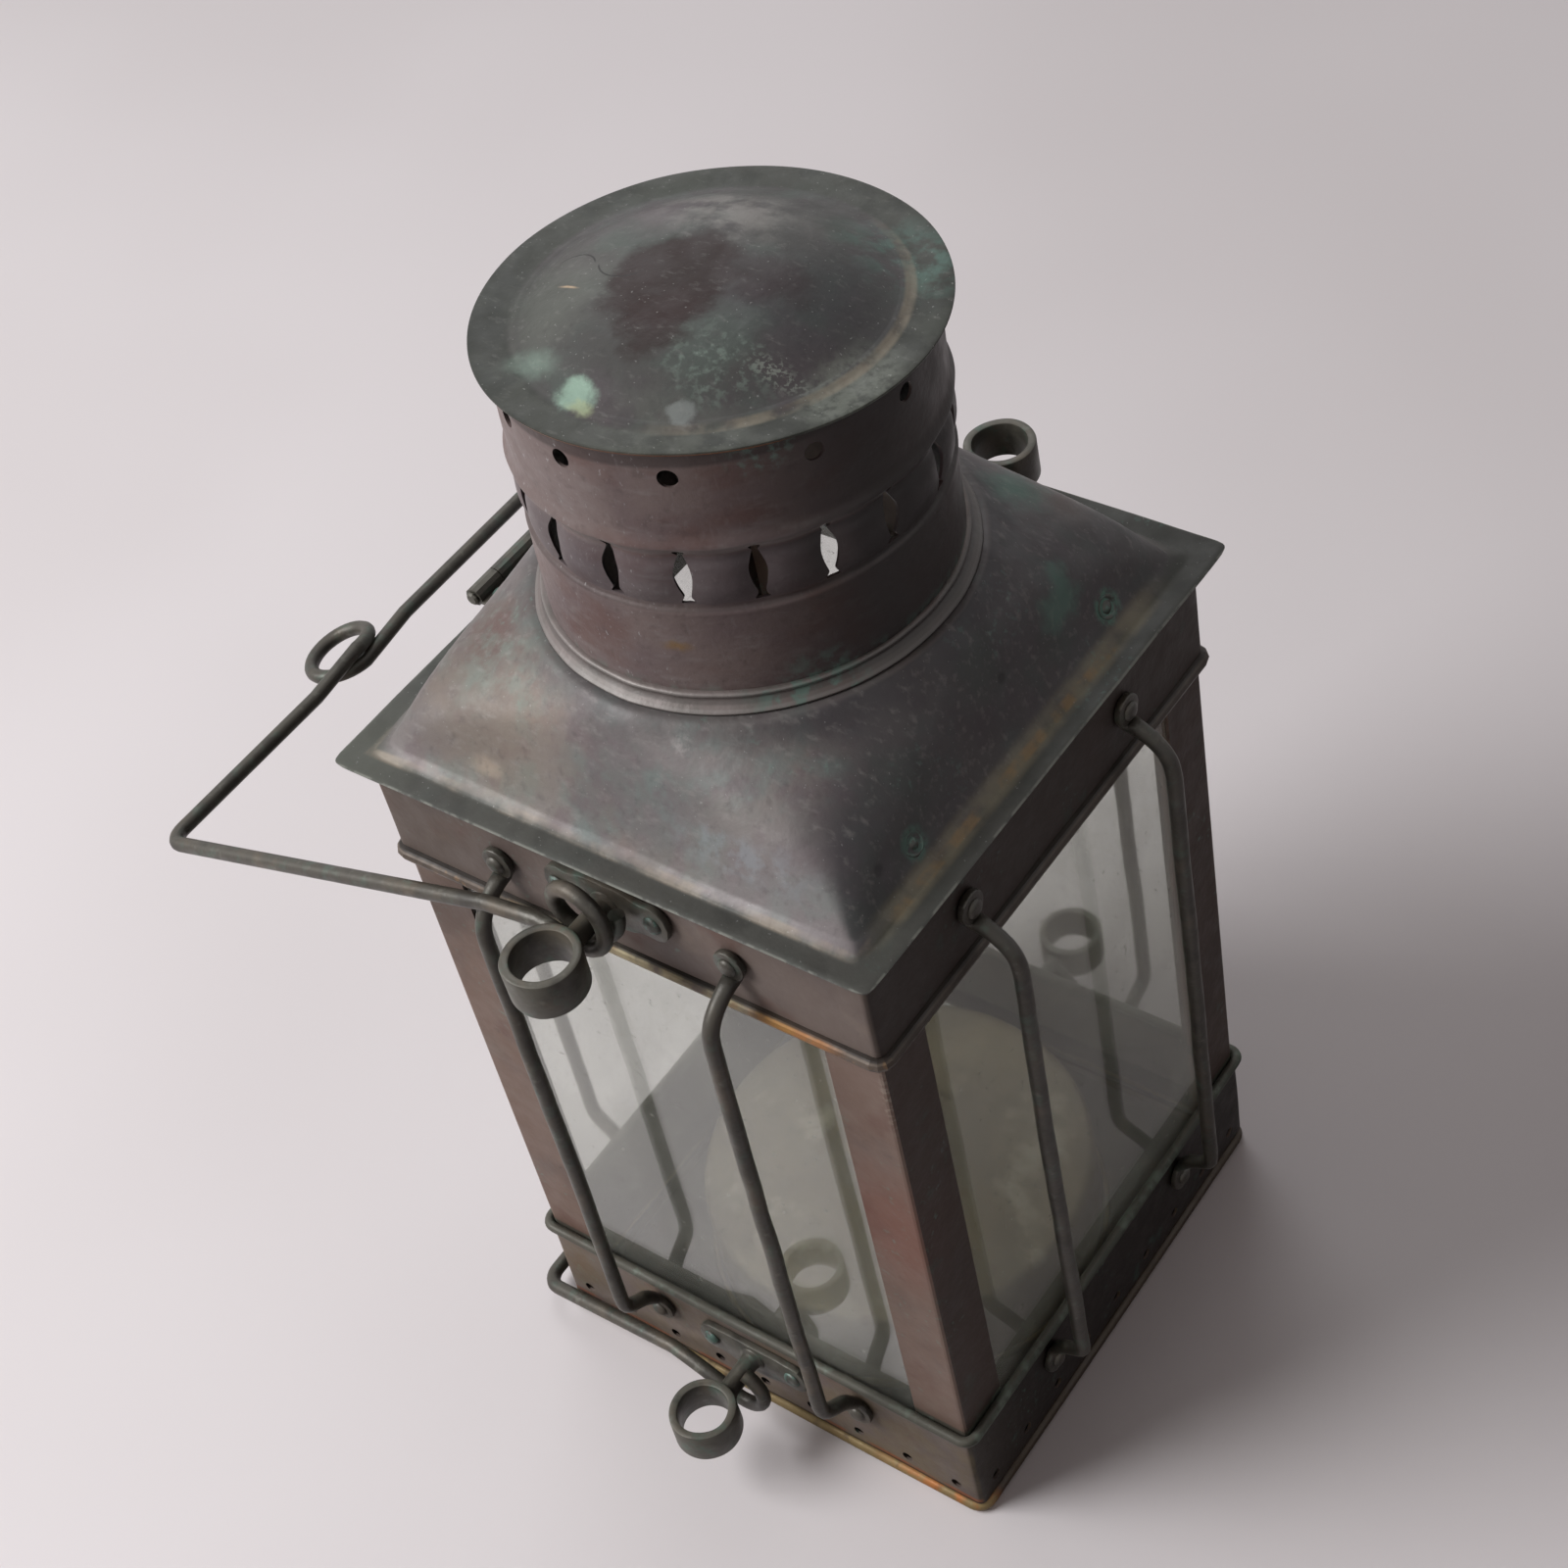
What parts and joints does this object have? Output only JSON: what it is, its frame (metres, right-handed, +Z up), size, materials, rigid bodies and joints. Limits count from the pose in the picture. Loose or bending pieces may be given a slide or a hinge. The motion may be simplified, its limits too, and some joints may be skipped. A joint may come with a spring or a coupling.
{
  "type": "ship's lantern",
  "caption": "Square glazed copper oil lantern with a hinged roof, round chimney and cap, wire guards, two bails and guide rings.",
  "frame": {"origin": "centre of the base pan's underside, on the surface the lantern stands on", "axes": "+Z up through the chimney, -Y out of the front, which carries guide rings as the back does, and -X towards the roof hinge and the resting bails"},
  "size_m": [0.3043, 0.245, 0.3998],
  "materials": {
    "brown_copper": "copper sheet with a brown-violet patina",
    "dark_copper": "copper sheet with a dark grey-green patina",
    "bright_copper": "rubbed copper, orange to gold",
    "old_brass": "dark olive-brown brass wire and castings",
    "window_glass": "clear sheet glass, slightly dirty",
    "tinplate": "dull tinned sheet",
    "cotton": "woven cotton"
  },
  "bodies": {
    "case": {"base_pan": "bright_copper", "lower_band": "brown_copper", "upper_rail": "bright_copper", "upper_band": "brown_copper", "corner_post_front_left": "brown_copper", "corner_post_front_right": "brown_copper", "corner_post_back_left": "brown_copper", "corner_post_back_right": "brown_copper", "glass_front": "window_glass", "glass_right": "window_glass", "glass_back": "window_glass", "glass_left": "window_glass", "guard_front_1": "old_brass", "guard_front_2": "old_brass", "guard_right_1": "old_brass", "guard_right_2": "old_brass", "guard_back_1": "old_brass", "guard_back_2": "old_brass", "guard_left_1": "old_brass", "guard_left_2": "old_brass", "guide_bracket_top_front": "old_brass", "guide_bracket_top_back": "old_brass", "guide_bracket_bottom_front": "old_brass", "guide_bracket_bottom_back": "old_brass", "bracket_rivet_top_front_1": "old_brass", "bracket_rivet_top_front_2": "old_brass", "bracket_rivet_top_back_1": "old_brass", "bracket_rivet_top_back_2": "old_brass", "bracket_rivet_bottom_front_1": "old_brass", "bracket_rivet_bottom_front_2": "old_brass", "bracket_rivet_bottom_back_1": "old_brass", "bracket_rivet_bottom_back_2": "old_brass", "hinge_leaf_case": "old_brass", "hinge_pin": "old_brass", "hinge_rivet_case_1": "old_brass", "hinge_rivet_case_2": "old_brass", "oil_font": "tinplate", "font_ring": "brown_copper", "burner": "old_brass", "wick": "cotton"},
    "lid": {"roof": "brown_copper", "chimney": "brown_copper", "chimney_collar": "dark_copper", "cap": "dark_copper", "hinge_leaf_lid": "old_brass", "hinge_rivet_lid_1": "old_brass", "hinge_rivet_lid_2": "old_brass", "catch_spring_1": "old_brass", "catch_spring_2": "old_brass", "catch_rivet_1": "old_brass", "catch_rivet_2": "old_brass"},
    "top_bail": {"top_bail": "old_brass"},
    "bottom_bail": {"bottom_bail": "old_brass"}
  },
  "joints": [
    {"name": "roof_hinge", "type": "hinge", "parent": "case", "child": "lid", "pos_m": [-0.0934, 0, 0.2716], "axis": [0, -1, 0], "range_deg": [0, 115]},
    {"name": "top_bail_swing", "type": "hinge", "parent": "case", "child": "top_bail", "pos_m": [0, 0, 0.2525], "axis": [0, 1, 0], "range_deg": [0, 203]},
    {"name": "bottom_bail_swing", "type": "hinge", "parent": "case", "child": "bottom_bail", "pos_m": [0, 0, 0.0288], "axis": [0, -1, 0], "range_deg": [0, 148]}
  ]
}
